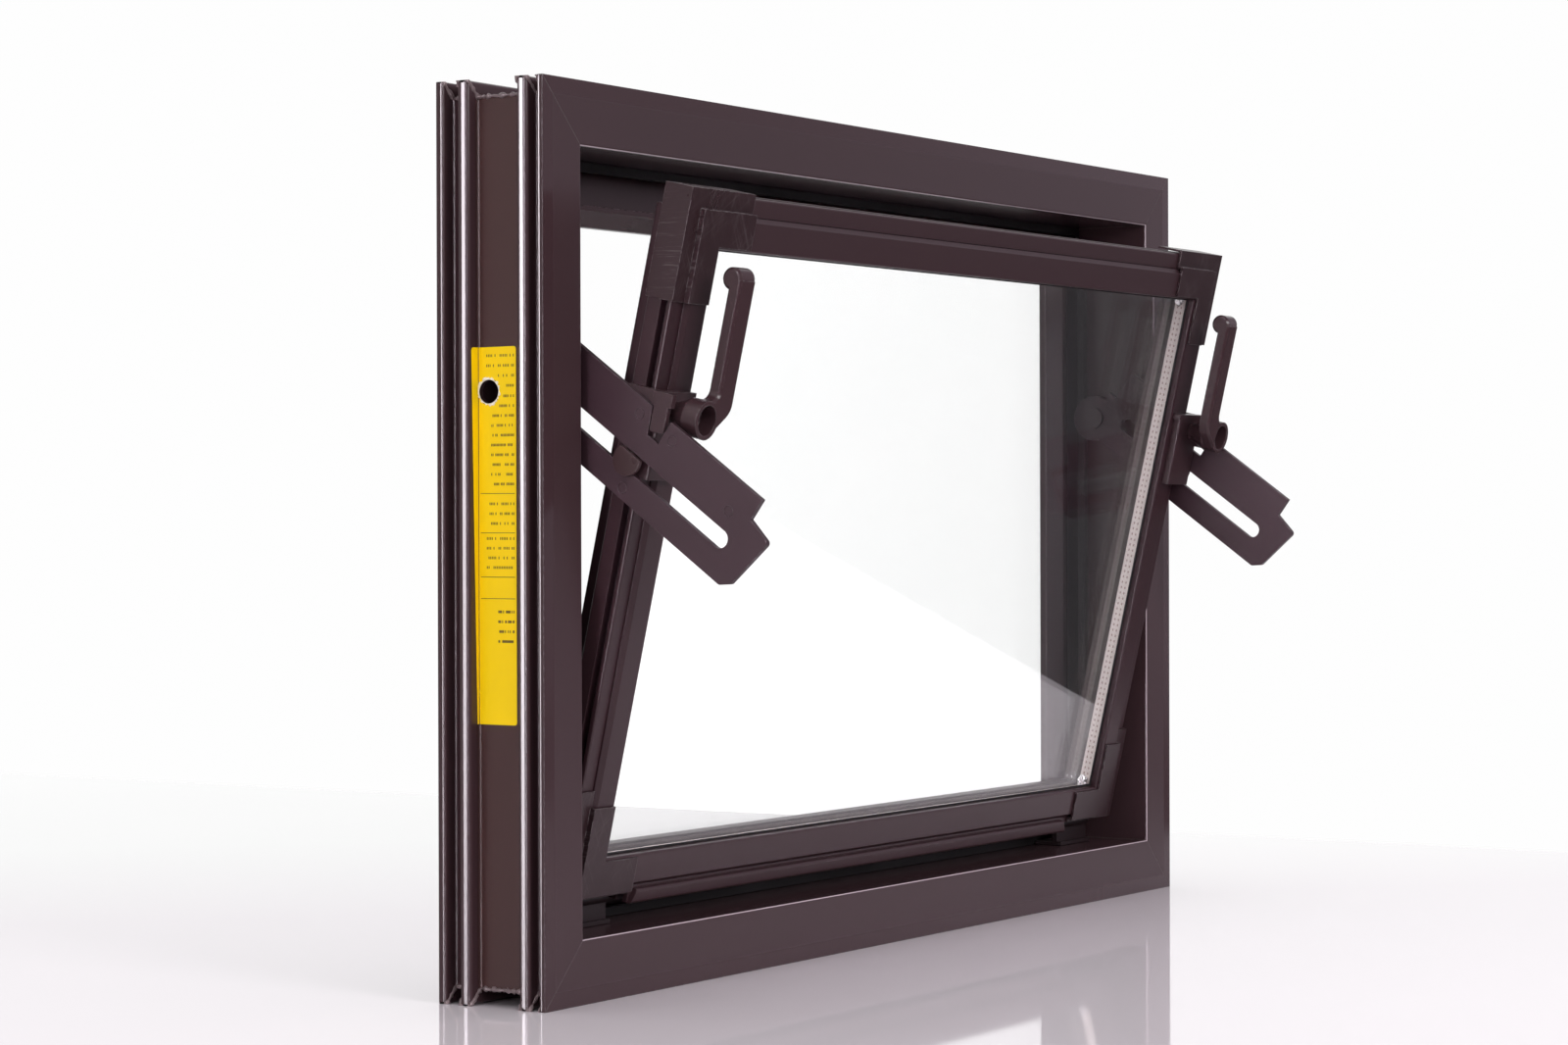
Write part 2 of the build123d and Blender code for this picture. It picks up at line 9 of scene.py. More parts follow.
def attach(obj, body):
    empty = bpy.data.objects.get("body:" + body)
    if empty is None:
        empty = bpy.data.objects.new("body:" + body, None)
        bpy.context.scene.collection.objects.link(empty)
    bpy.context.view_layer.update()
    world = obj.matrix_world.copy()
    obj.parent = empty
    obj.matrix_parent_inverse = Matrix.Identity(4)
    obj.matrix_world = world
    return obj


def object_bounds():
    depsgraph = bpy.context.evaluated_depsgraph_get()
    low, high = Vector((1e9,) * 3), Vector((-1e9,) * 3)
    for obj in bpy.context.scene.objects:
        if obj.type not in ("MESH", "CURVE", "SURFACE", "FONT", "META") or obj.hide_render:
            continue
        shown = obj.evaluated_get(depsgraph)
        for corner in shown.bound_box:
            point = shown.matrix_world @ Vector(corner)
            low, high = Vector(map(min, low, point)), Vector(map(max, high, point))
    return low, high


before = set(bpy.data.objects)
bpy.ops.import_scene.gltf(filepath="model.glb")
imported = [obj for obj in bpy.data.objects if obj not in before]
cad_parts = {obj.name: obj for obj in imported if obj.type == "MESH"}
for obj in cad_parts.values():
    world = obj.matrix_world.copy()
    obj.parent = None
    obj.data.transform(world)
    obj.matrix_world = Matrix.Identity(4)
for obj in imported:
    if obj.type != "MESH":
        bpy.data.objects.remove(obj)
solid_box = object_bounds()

# Basement window of dark brown plastic: a welded frame, and a double-glazed sash that
# is tilted into the room on two slotted stays. Metres, in the frame of the solids:
# +X along the width, +Y to the outside, +Z up. The room is on the -Y side.
scene = bpy.context.scene

# Camera
# Fitted to the corners of the outer frame in the photograph. It stands low, to the left
# of the window, and looks along its room side.
yaw, pitch, roll = radians(57.776), radians(-0.27), radians(-0.164)
camera_place = Vector((-1.5573, -0.9135, 0.2160))
photo_width_px = 1600.0
focal_px = 3716.1
sensor_wide = 36.0
ahead = Vector((sin(yaw) * cos(pitch), cos(yaw) * cos(pitch), sin(pitch)))
level = Vector((cos(yaw), -sin(yaw), 0.0))
upright = level.cross(ahead)
camera_x = level * cos(roll) + upright * sin(roll)
camera_y = upright * cos(roll) - level * sin(roll)
lens = bpy.data.cameras.new("photo_camera")
lens.sensor_fit = "HORIZONTAL"
lens.sensor_width = sensor_wide
lens.lens = focal_px / photo_width_px * sensor_wide
camera = bpy.data.objects.new("photo_camera", lens)
scene.collection.objects.link(camera)
placed = Matrix((camera_x, camera_y, -ahead)).transposed().to_4x4()
placed.translation = camera_place
camera.matrix_world = placed
scene.camera = camera
scene.view_settings.view_transform = "Standard"


# Table top and studio
# A glossy white acrylic sheet whose right edge ends 30 cm beside the window. The glass
# mirrors the table up to its edges, and the dark studio floor beyond them.
def new_material(name):
    """A material with its shader, ready for links."""
    material = bpy.data.materials.new(name)
    material.use_nodes = True
    return material, material.node_tree, material.node_tree.nodes["Principled BSDF"]


def add_mesh(name, points, faces, material=None):
    """A mesh object at the origin, its place in its points."""
    mesh = bpy.data.meshes.new(name)
    mesh.from_pydata([tuple(point) for point in points], [], faces)
    mesh.update()
    thing = bpy.data.objects.new(name, mesh)
    scene.collection.objects.link(thing)
    if material:
        mesh.materials.append(material)
    return thing


def calc(tree, operation, first, second=None, third=None):
    """One math node; each value is a number or an output socket."""
    node = tree.nodes.new("ShaderNodeMath")
    node.operation = operation
    for place, value in enumerate((first, second, third)):
        if value is None:
            continue
        if isinstance(value, (int, float)):
            node.inputs[place].default_value = value
        else:
            tree.links.new(value, node.inputs[place])
    return node.outputs["Value"]


def ramp(tree, value, start, end, low, high):
    """A value that runs from low to high while the input runs from start to end."""
    node = tree.nodes.new("ShaderNodeMapRange")
    for label, number in (("From Min", start), ("From Max", end), ("To Min", low),
                          ("To Max", high)):
        node.inputs[label].default_value = number
    tree.links.new(value, node.inputs["Value"])
    return node.outputs["Result"]


def mix_colour(tree, mask, under, over):
    """Colour over laid on colour under by the mask; each is a colour or a socket."""
    node = tree.nodes.new("ShaderNodeMix")
    node.data_type = "RGBA"
    tree.links.new(mask, node.inputs["Factor"])
    for label, value in (("A", under), ("B", over)):
        socket = [s for s in node.inputs if s.name == label and s.type == "RGBA"][0]
        if isinstance(value, tuple):
            socket.default_value = (*value, 1)
        else:
            tree.links.new(value, socket)
    return [s for s in node.outputs if s.type == "RGBA"][0]


def noise(tree, vector, scale, detail=2.0):
    """A soft random pattern between 0 and 1."""
    node = tree.nodes.new("ShaderNodeTexNoise")
    node.inputs["Scale"].default_value = scale
    node.inputs["Detail"].default_value = detail
    tree.links.new(vector, node.inputs["Vector"])
    return node.outputs["Fac"]


def object_place(tree):
    """The place on the object, in metres, as a vector socket."""
    return tree.nodes.new("ShaderNodeTexCoord").outputs["Object"]


def split(tree, vector):
    """The X, Y and Z sockets of a vector."""
    node = tree.nodes.new("ShaderNodeSeparateXYZ")
    tree.links.new(vector, node.inputs["Vector"])
    return node.outputs


table_left, table_right = -5.0, 0.605
table_near, table_far = -0.6, 7.0
cloud_scale = 1.6
pale_from, pale_to = 0.25, 0.85
table_white, tree, shader = new_material("table_acrylic")
shader.inputs["Roughness"].default_value = 0.045
spot = object_place(tree)
near_tone = mix_colour(tree, noise(tree, spot, cloud_scale), (0.765, 0.700, 0.750),
                       (0.805, 0.735, 0.790))
sides = split(tree, spot)
# the tone pales toward the far right, along the diagonal of X and Y
paling = ramp(tree, calc(tree, "ADD", sides["X"], sides["Y"]), pale_from, pale_to, 0, 1)
tree.links.new(mix_colour(tree, paling, near_tone, (0.86, 0.86, 0.86)),
               shader.inputs["Base Color"])
table = add_mesh("table_top", [(table_left, table_near, 0), (table_right, table_near, 0),
                               (table_right, table_far, 0), (table_left, table_far, 0)],
                 [(0, 1, 2, 3)], table_white)

floor_left, floor_right, floor_near, floor_far, floor_z = -6.0, 14.0, -14.0, -0.2, -0.8
studio_dark, tree, shader = new_material("studio_dark")
shader.inputs["Base Color"].default_value = (0.03, 0.028, 0.03, 1)
shader.inputs["Roughness"].default_value = 0.8
studio_floor = add_mesh("studio_floor", [
    (floor_left, floor_near, floor_z), (floor_right, floor_near, floor_z),
    (floor_right, floor_far, floor_z), (floor_left, floor_far, floor_z)],
    [(0, 1, 2, 3)], studio_dark)
studio_floor.visible_camera = False

# Light
# A white room: pure white paper hangs behind the window, and the room side is dimmer. A
# tall bright strip at the left draws the lines down the ribs of the jamb.
lit_level = 0.92
seen_level = 0.99
mirrored_room, mirrored_paper = 0.42, 1.06
left_back_dip, right_front_lift, strip_level = -0.5, 0.45, 44.0
through_level, through_lift = 1.35, 1.8
room_y, paper_y = -0.1, 0.2
world = bpy.data.worlds.new("white_room")
scene.world = world
world.use_nodes = True
tree = world.node_tree
backdrop = tree.nodes["Background"]
facing = split(tree, tree.nodes.new("ShaderNodeTexCoord").outputs["Generated"])
path = tree.nodes.new("ShaderNodeLightPath").outputs
# what gloss mirrors: paper behind, a dim room in front, two lighter patches and a darker one
mirrored = ramp(tree, facing["Y"], room_y, paper_y, mirrored_room, mirrored_paper)
right_front = calc(tree, "MULTIPLY", ramp(tree, facing["X"], 0.85, 0.93, 0, 1),
                   ramp(tree, facing["Y"], -0.2, -0.3, 0, 1))
right_front = calc(tree, "MULTIPLY", right_front, ramp(tree, facing["Z"], -0.05, 0.05, 0, 1))
left_back = calc(tree, "MULTIPLY", ramp(tree, facing["X"], -0.55, -0.7, 0, 1),
                 ramp(tree, facing["Y"], 0.48, 0.54, 0, 1))
left_strip = calc(tree, "MULTIPLY",
                  ramp(tree, calc(tree, "ABSOLUTE", facing["Y"]), 0.070, 0.095, 1, 0),
                  ramp(tree, facing["X"], -0.8, -0.7, 1, 0))
left_strip = calc(tree, "MULTIPLY", left_strip, ramp(tree, facing["Z"], -0.07, 0.03, 0.3, 1))
for patch, level_change in ((right_front, right_front_lift), (left_back, left_back_dip),
                            (left_strip, strip_level)):
    mirrored = calc(tree, "MULTIPLY_ADD", patch, level_change, mirrored)
# rays that leave a matt face through the panes meet a brighter room than those of the camera
through = calc(tree, "MULTIPLY_ADD", calc(tree, "MINIMUM", path["Diffuse Depth"], 1.0),
               through_lift, through_level)
glow = lit_level
for kind_of_ray, strength in (("Is Glossy Ray", mirrored), ("Is Transmission Ray", through),
                              ("Is Camera Ray", seen_level)):
    glow = calc(tree, "MULTIPLY_ADD", path[kind_of_ray],
                calc(tree, "SUBTRACT", strength, glow), glow)
tree.links.new(glow, backdrop.inputs["Strength"])
to_room = calc(tree, "MULTIPLY", path["Is Glossy Ray"],
               ramp(tree, facing["Y"], room_y, paper_y, 1, 0))
tree.links.new(mix_colour(tree, to_room, (1.0, 1.0, 1.0), (0.98, 0.87, 1.0)),
               backdrop.inputs["Color"])


def soft_box(name, at, aim, size, power):
    """A rectangular lamp at a point, turned toward another."""
    lamp = bpy.data.lights.new(name, "AREA")
    lamp.shape = "RECTANGLE"
    lamp.size, lamp.size_y = size
    lamp.energy = power
    box = bpy.data.objects.new(name, lamp)
    scene.collection.objects.link(box)
    box.location = at
    box.rotation_euler = (Vector(aim) - Vector(at)).to_track_quat("-Z", "Y").to_euler()


soft_box("box_left", at=(-2.3, 0.02, 0.30), aim=(-0.3, 0.03, 0.1), size=(0.16, 1.0), power=6)
soft_box("box_camera", at=(-0.8, -2.4, 1.1), aim=(0.15, 0.0, 0.25), size=(0.9, 0.9), power=32)


# Outer frame
# Four hollow bars of extruded rigid plastic, mitred and welded at the corners. The skin
# is satin, with fine lines along each bar; the deep channel outside is left browner.
def node_group(name, inputs, outputs):
    """An empty shader node group with the named sockets."""
    group = bpy.data.node_groups.new(name, "ShaderNodeTree")
    for label, kind in inputs:
        group.interface.new_socket(label, in_out="INPUT", socket_type=kind)
    for label, kind in outputs:
        group.interface.new_socket(label, in_out="OUTPUT", socket_type=kind)
    return (group, group.nodes.new("NodeGroupInput"), group.nodes.new("NodeGroupOutput"))


def band(tree, value, low, high, soft):
    """1 where the value lies between low and high, with soft ends."""
    return calc(tree, "MULTIPLY", ramp(tree, value, low - soft, low + soft, 0, 1),
                ramp(tree, value, high - soft, high + soft, 1, 0))


# skin of a plastic part: fine grain, broad clouds and a low relief. The lift leaves the
# darker tone only to the deepest grain.
fine_share, broad_share, tone_lift = 0.45, 0.55, 0.5
skin, skin_in, skin_out = node_group(
    "plastic_skin", [("Vector", "NodeSocketVector"), ("Fine", "NodeSocketFloat"),
                     ("Broad", "NodeSocketFloat")],
    [("Tone", "NodeSocketFloat"), ("Gloss", "NodeSocketFloat"), ("Height", "NodeSocketFloat")])
fine = noise(skin, skin_in.outputs["Vector"], 1.0, detail=4.0)
broad = noise(skin, skin_in.outputs["Vector"], 1.0, detail=3.0)
skin.links.new(skin_in.outputs["Fine"], fine.node.inputs["Scale"])
skin.links.new(skin_in.outputs["Broad"], broad.node.inputs["Scale"])
fine_part = calc(skin, "MULTIPLY_ADD", fine, fine_share, tone_lift)
skin.links.new(calc(skin, "MULTIPLY_ADD", broad, broad_share, fine_part), skin_out.inputs["Tone"])
skin.links.new(broad, skin_out.inputs["Gloss"])
skin.links.new(fine, skin_out.inputs["Height"])

# paler edge marks, wear on most parts and a painted highlight on the frame: where the
# rounded normal leaves the flat one, broken up by noise
wear_and_sheen_gain, grit_scale = 6.0, 420.0
grit_from, grit_to = 0.45, 0.62
wear_and_sheen, wear_and_sheen_in, wear_and_sheen_out = node_group(
    "edge_wear_and_sheen", [("Rounded", "NodeSocketVector"), ("Vector", "NodeSocketVector"),
                  ("Amount", "NodeSocketFloat")], [("Mask", "NodeSocketFloat")])
shape = wear_and_sheen.nodes.new("ShaderNodeNewGeometry")
agree = wear_and_sheen.nodes.new("ShaderNodeVectorMath")
agree.operation = "DOT_PRODUCT"
wear_and_sheen.links.new(wear_and_sheen_in.outputs["Rounded"], agree.inputs[0])
wear_and_sheen.links.new(shape.outputs["Normal"], agree.inputs[1])
bend = calc(wear_and_sheen, "SUBTRACT", 1.0, agree.outputs["Value"])
grit = noise(wear_and_sheen, wear_and_sheen_in.outputs["Vector"], grit_scale, detail=3.0)
wear_and_sheen_mask = calc(wear_and_sheen, "MULTIPLY", calc(wear_and_sheen, "MULTIPLY", bend, wear_and_sheen_gain),
              ramp(wear_and_sheen, grit, grit_from, grit_to, 0, 1))
wear_and_sheen_mask = calc(wear_and_sheen, "MULTIPLY", wear_and_sheen_mask, wear_and_sheen_in.outputs["Amount"])
wear_and_sheen.links.new(calc(wear_and_sheen, "MINIMUM", wear_and_sheen_mask, 1.0), wear_and_sheen_out.inputs["Mask"])


def use_group(tree, group, **values):
    """Places a group in a tree; each value is a number or an output socket."""
    node = tree.nodes.new("ShaderNodeGroup")
    node.node_tree = group
    for label, value in values.items():
        if isinstance(value, (int, float)):
            node.inputs[label].default_value = value
        else:
            tree.links.new(value, node.inputs[label])
    return node


plastic_specular = 0.32
rounding_samples = 4
tone_from, tone_to = 0.35, 0.65
cloud_from, cloud_to = 0.3, 0.7
smoothest, roughest = 0.88, 1.15
worn_shine = -0.1


def plastic(name, dark, light, rough, stretch=(1, 1, 1), fine_scale=900, broad_scale=14,
            relief=0.00002, edge=0.0006, wear_and_sheen_amount=0.0, wear_and_sheen_colour=(0.3, 0.26, 0.27)):
    """Brown plastic with grain, clouded gloss, softened edges, and paler edge marks: wear on most
    parts, a painted highlight on the frame.
    """
    material, tree, shader = new_material(name)
    where = object_place(tree)
    stretched = tree.nodes.new("ShaderNodeMapping")
    stretched.inputs["Scale"].default_value = stretch
    tree.links.new(where, stretched.inputs["Vector"])
    grain = use_group(tree, skin, Vector=stretched.outputs["Vector"], Fine=fine_scale,
                      Broad=broad_scale)
    rounding = tree.nodes.new("ShaderNodeBevel")
    rounding.inputs["Radius"].default_value = edge
    rounding.samples = rounding_samples
    shader.inputs["Specular IOR Level"].default_value = plastic_specular
    lighter = ramp(tree, grain.outputs["Tone"], tone_from, tone_to, 0, 1)
    colour = mix_colour(tree, lighter, dark, light)
    roughness = ramp(tree, grain.outputs["Gloss"], cloud_from, cloud_to, rough * smoothest,
                     rough * roughest)
    if wear_and_sheen_amount:
        wear_and_sheen_mask = use_group(tree, wear_and_sheen, Rounded=rounding.outputs["Normal"], Vector=where,
                           Amount=wear_and_sheen_amount)
        colour = mix_colour(tree, wear_and_sheen_mask.outputs["Mask"], colour, wear_and_sheen_colour)
        roughness = calc(tree, "MULTIPLY_ADD", wear_and_sheen_mask.outputs["Mask"], worn_shine, roughness)
    bump = tree.nodes.new("ShaderNodeBump")
    bump.inputs["Distance"].default_value = relief
    bump.inputs["Strength"].default_value = 1.0
    tree.links.new(grain.outputs["Height"], bump.inputs["Height"])
    tree.links.new(rounding.outputs["Normal"], bump.inputs["Normal"])
    tree.links.new(colour, shader.inputs["Base Color"])
    tree.links.new(roughness, shader.inputs["Roughness"])
    tree.links.new(bump.outputs["Normal"], shader.inputs["Normal"])
    return material, tree, shader, colour, roughness, bump


def dress(material, *nodes):
    """Gives solids of the frame their material."""
    for node in nodes:
        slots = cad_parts[node].data.materials
        slots.clear()
        slots.append(material)


# masks over the frame, by the distance in from the nearest outer side and by the depth
frame_half, frame_tall = solid_box[1][0], solid_box[1][2]
face_wide = 0.0284
outer_deep = 0.0073
channel_floor = 0.0070
channel_front, channel_back = 0.0185, 0.0405
crown_bands = ((0.0017, 0.0023), (0.0104, 0.0126), (0.0408, 0.0432), (0.0536, 0.0545))
crown_slope = 0.31
seam_half = 0.00028
places_group, places_in, places_out = node_group(
    "frame_places", [("Vector", "NodeSocketVector")],
    [("Seam", "NodeSocketFloat"), ("Channel", "NodeSocketFloat"), ("Outer", "NodeSocketFloat"),
     ("Crown", "NodeSocketFloat"), ("Inner", "NodeSocketFloat"), ("ArrisHighlight", "NodeSocketFloat")])
axes = split(places_group, places_in.outputs["Vector"])
from_side = calc(places_group, "SUBTRACT", frame_half, calc(places_group, "ABSOLUTE", axes["X"]))
off_middle = calc(places_group, "SUBTRACT", axes["Z"], frame_tall / 2)
from_ends = calc(places_group, "SUBTRACT", frame_tall / 2,
                 calc(places_group, "ABSOLUTE", off_middle))
off_mitre = calc(places_group, "SUBTRACT", from_side, from_ends)
nearest = calc(places_group, "MINIMUM", from_side, from_ends)
outer = ramp(places_group, nearest, outer_deep + 0.0003, outer_deep - 0.0003, 0, 1)
channel = calc(places_group, "MULTIPLY",
               band(places_group, nearest, channel_floor - 0.0014, channel_floor + 0.0014, 0.0008),
               band(places_group, axes["Y"], channel_front, channel_back, 0.0004))
# a pale line along the inner front arris of each bar: a painted highlight
arris_highlight = calc(places_group, "MULTIPLY",
           band(places_group, nearest, face_wide - 0.0005, face_wide + 0.0005, 0.0001),
           ramp(places_group, axes["Y"], 0.0004, 0.0007, 1, 0))
# the tops of ribs and flanges slope a little toward the room
crown = 0.0
for start, end in crown_bands:
    crown = calc(places_group, "MULTIPLY_ADD", ramp(places_group, axes["Y"], start, end, 0, 1),
                 crown_slope * (end - start), crown)
for label, mask in (
        ("Seam", band(places_group, off_mitre, -seam_half, seam_half, 0.0001)),
        ("Channel", channel), ("Outer", outer),
        ("Crown", calc(places_group, "MULTIPLY", crown, outer)),
        ("Inner", ramp(places_group, nearest, face_wide - 0.0004, face_wide - 0.0001, 0, 1)),
        ("ArrisHighlight", arris_highlight)):
    places_group.links.new(mask, places_out.inputs[label])

channel_brown = (0.041, 0.0175, 0.0165)
seam_tone = (0.075, 0.055, 0.055)
# the colour of the painted highlight along the inner front arris
painted_highlight_tone = (0.50, 0.40, 0.45)
outer_shine, inner_shine = -0.19, -0.12
# on the frame the paler edge marks are painted highlights along the rounded arrises
for name, stretch, bars in (("frame_upright", (1, 1, 0.02), ("frame_left", "frame_right")),
                            ("frame_level", (0.02, 1, 1), ("frame_bottom", "frame_top"))):
    material, tree, shader, colour, roughness, bump = plastic(
        name, dark=(0.036, 0.0187, 0.0222), light=(0.043, 0.0225, 0.0264), rough=0.34,
        stretch=stretch, relief=0.000006, edge=0.0008, wear_and_sheen_amount=0.45,
        wear_and_sheen_colour=(0.17, 0.125, 0.145))
    places = use_group(tree, places_group, Vector=object_place(tree)).outputs
    for label, tone in (("Channel", channel_brown), ("Seam", seam_tone), ("ArrisHighlight", painted_highlight_tone)):
        colour = mix_colour(tree, places[label], colour, tone)
    tree.links.new(colour, shader.inputs["Base Color"])
    shiny = calc(tree, "SUBTRACT", places["Outer"], places["Channel"])
    roughness = calc(tree, "MULTIPLY_ADD", shiny, outer_shine, roughness)
    roughness = calc(tree, "MULTIPLY_ADD", places["Inner"], inner_shine, roughness)
    tree.links.new(roughness, shader.inputs["Roughness"])
    sloped = tree.nodes.new("ShaderNodeBump")
    sloped.inputs["Distance"].default_value = 1.0
    tree.links.new(places["Crown"], sloped.inputs["Height"])
    tree.links.new(bump.inputs["Normal"].links[0].from_socket, sloped.inputs["Normal"])
    tree.links.new(sloped.outputs["Normal"], bump.inputs["Normal"])
    dress(material, *bars)

# Weld flash
# Melted plastic squeezed out where the mitres were welded. It was planed off the faces
# that show, and is left as a rough bead across the grooves outside each corner.
flash = plastic("weld_flash", dark=(0.070, 0.0430, 0.0480), light=(0.150, 0.1100, 0.1150),
                rough=0.3, fine_scale=700, broad_scale=220, relief=0.0003, edge=0.0003)[0]
groove_deep = 0.007
bead_thick, bead_step = 0.0010, 0.0009
wander_in, wander_y = 0.0002, 0.0003
# the grooves from the room side to the outside: share of the groove's depth, and place in Y
section = [(0, 0.0033), (1, 0.0033), (1, 0.0085), (0, 0.0085), (0, 0.0140), (1, 0.0140),
           (1, 0.0397), (0, 0.0397), (0, 0.0457), (1, 0.0457), (1, 0.0530), (0, 0.0530),
           (0, 0.0572)]
rng = random.Random(5)
for side, side_name in ((-1, "left"), (1, "right")):
    for top, row_name in ((0, "bottom"), (1, "top")):
        trail = []
        for (in_a, y_a), (in_b, y_b) in zip(section, section[1:]):
            length = hypot((in_b - in_a) * groove_deep, y_b - y_a)
            steps = max(2, round(length / bead_step))
            for step in range(steps):
                share = step / steps
                inward = (in_a + (in_b - in_a) * share) * groove_deep
                inward += rng.uniform(-1, 1) * wander_in
                y = y_a + (y_b - y_a) * share + rng.uniform(-1, 1) * wander_y
                z = frame_tall - inward if top else inward
                trail.append((side * (frame_half - inward), y, z))
        path_data = bpy.data.curves.new("weld_bead", "CURVE")
        path_data.dimensions = "3D"
        path_data.bevel_depth = bead_thick
        path_data.bevel_resolution = 1
        path_data.use_fill_caps = True
        spline = path_data.splines.new("POLY")
        spline.points.add(len(trail) - 1)
        for point, place in zip(spline.points, trail):
            point.co = (*place, 1)
            point.radius = rng.uniform(0.35, 1.5)
        path_thing = bpy.data.objects.new("weld_bead", path_data)
        bead = bpy.data.objects.new("weld_bead_" + row_name + "_" + side_name,
                                    bpy.data.meshes.new_from_object(path_thing))
        bpy.data.objects.remove(path_thing)
        scene.collection.objects.link(bead)
        # the bead was planed level with the frame's outer sides
        for vertex in bead.data.vertices:
            vertex.co.x = max(-frame_half, min(frame_half, vertex.co.x))
            vertex.co.z = max(0.0, min(frame_tall, vertex.co.z))
        bead.data.materials.append(flash)
        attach(bead, "root")


# Sticker
# A satin yellow vinyl sticker in the outer channel of the left jamb, cut through by the
# access hole, which left a torn white rim. It carries only rows of dots and thin rules.
def node_tree(name, sizes):
    """A Geometry Nodes tree with a geometry socket and the named size inputs."""
    tree = bpy.data.node_groups.new(name, "GeometryNodeTree")
    tree.interface.new_socket("Geometry", in_out="INPUT", socket_type="NodeSocketGeometry")
    for label, kind in sizes:
        tree.interface.new_socket(label, in_out="INPUT", socket_type=kind)
    tree.interface.new_socket("Geometry", in_out="OUTPUT", socket_type="NodeSocketGeometry")
    return tree, tree.nodes.new("NodeGroupInput"), tree.nodes.new("NodeGroupOutput")


def grown(thing, tree, sizes):
    """Runs a tree on an object and keeps the result as its plain mesh."""
    modifier = thing.modifiers.new("grow", "NODES")
    modifier.node_group = tree
    names = {item.name: item.identifier for item in tree.interface.items_tree
             if item.in_out == "INPUT"}
    for label, value in sizes.items():
        modifier[names[label]] = value
    bpy.context.view_layer.update()
    seen = thing.evaluated_get(bpy.context.evaluated_depsgraph_get())
    mesh = bpy.data.meshes.new_from_object(seen)
    thing.modifiers.remove(modifier)
    thing.data = mesh


sticker_yellow, tree, shader = plastic(
    "sticker_vinyl", dark=(0.83, 0.555, 0.001), light=(0.89, 0.605, 0.0015), rough=0.42,
    fine_scale=600, broad_scale=60, relief=0.00003, edge=0.0001)[:3]
shader.inputs["Specular IOR Level"].default_value = 0.2
sticker_x = -0.29306
sticker_thick = 0.00012
hole_y, hole_z, hole_r = 0.0340, 0.2655, 0.0052
fold_y, front_y = 0.03966, 0.0194
corner_r, fold_corner_r = 0.0014, 0.0001
corners = ((fold_y, 0.2847), (fold_y, 0.1216), (front_y, 0.1215), (front_y, 0.2849))
corner_steps = 4
outline = []
for number, (y, z) in enumerate(corners):
    point = Vector((y, z))
    radius = fold_corner_r if y == fold_y else corner_r
    before = Vector(corners[number - 1]) - point
    after = Vector(corners[(number + 1) % len(corners)]) - point
    start = point + before.normalized() * radius
    end = point + after.normalized() * radius
    for step in range(corner_steps + 1):
        share = step / corner_steps
        outline.append(start.lerp(point, share).lerp(point.lerp(end, share), share))
rng = random.Random(3)
tear_points = 48
tear = []
for step in range(tear_points):
    radius, turn = hole_r * rng.uniform(1.03, 1.16), 2 * pi * step / tear_points
    tear.append(Vector((hole_y + radius * cos(turn), hole_z + radius * sin(turn))))
sheet = bmesh.new()
edges = []
for loop in (outline, tear):
    verts = [sheet.verts.new((sticker_x, point.x, point.y)) for point in loop]
    edges += [sheet.edges.new((verts[i - 1], verts[i])) for i in range(len(verts))]
bmesh.ops.triangle_fill(sheet, use_beauty=True, use_dissolve=False, edges=edges)
lifted = bmesh.ops.extrude_face_region(sheet, geom=sheet.faces[:])
bmesh.ops.translate(sheet, vec=(-sticker_thick, 0, 0),
                    verts=[v for v in lifted["geom"] if isinstance(v, bmesh.types.BMVert)])
bmesh.ops.recalc_face_normals(sheet, faces=sheet.faces[:])
sticker = add_mesh("sticker", [], [], sticker_yellow)
sheet.to_mesh(sticker.data)
sheet.free()
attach(sticker, "root")

# the sticker's far edge climbs the channel's side wall
climb = ((-0.2944, 0.1216), (-0.2930, 0.1216), (-0.2930, 0.2847), (-0.2968, 0.2847),
         (-0.2977, 0.2843), (-0.2981, 0.2834))
points = [(x, fold_y - lift, z) for lift in (sticker_thick, 0.00001) for x, z in climb]
count = len(climb)
faces = [tuple(range(count)), tuple(range(2 * count - 1, count - 1, -1))]
faces += [(i, i + count, (i + 1) % count + count, (i + 1) % count) for i in range(count)]
climbing = add_mesh("sticker_fold", points, faces, sticker_yellow)
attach(climbing, "root")

# the torn rim: rings round the hole, as a share of its radius and as height off the sheet
torn_white = plastic("sticker_core", dark=(0.62, 0.56, 0.42), light=(0.80, 0.76, 0.66),
                     rough=0.6, relief=0.0001, edge=0.0001)[0]
rings = ((0.98, 0.00002), (1.05, 0.00045), (1.14, 0.00034), (1.22, 0.00014))
points, faces = [], []
for step in range(tear_points):
    ragged, turn = rng.uniform(0.2, 1.25), 2 * pi * step / tear_points
    for grow, lift in rings:
        radius = hole_r * (1 + (grow - 1) * ragged)
        points.append((sticker_x - lift * ragged - 0.00005, hole_y + radius * cos(turn),
                       hole_z + radius * sin(turn)))
for step in range(tear_points):
    here, after = step * len(rings), (step + 1) % tear_points * len(rings)
    for ring in range(len(rings) - 1):
        faces.append((here + ring, here + ring + 1, after + ring + 1, after + ring))
torn_rim = add_mesh("sticker_torn_rim", points, faces, torn_white)
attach(torn_rim, "root")

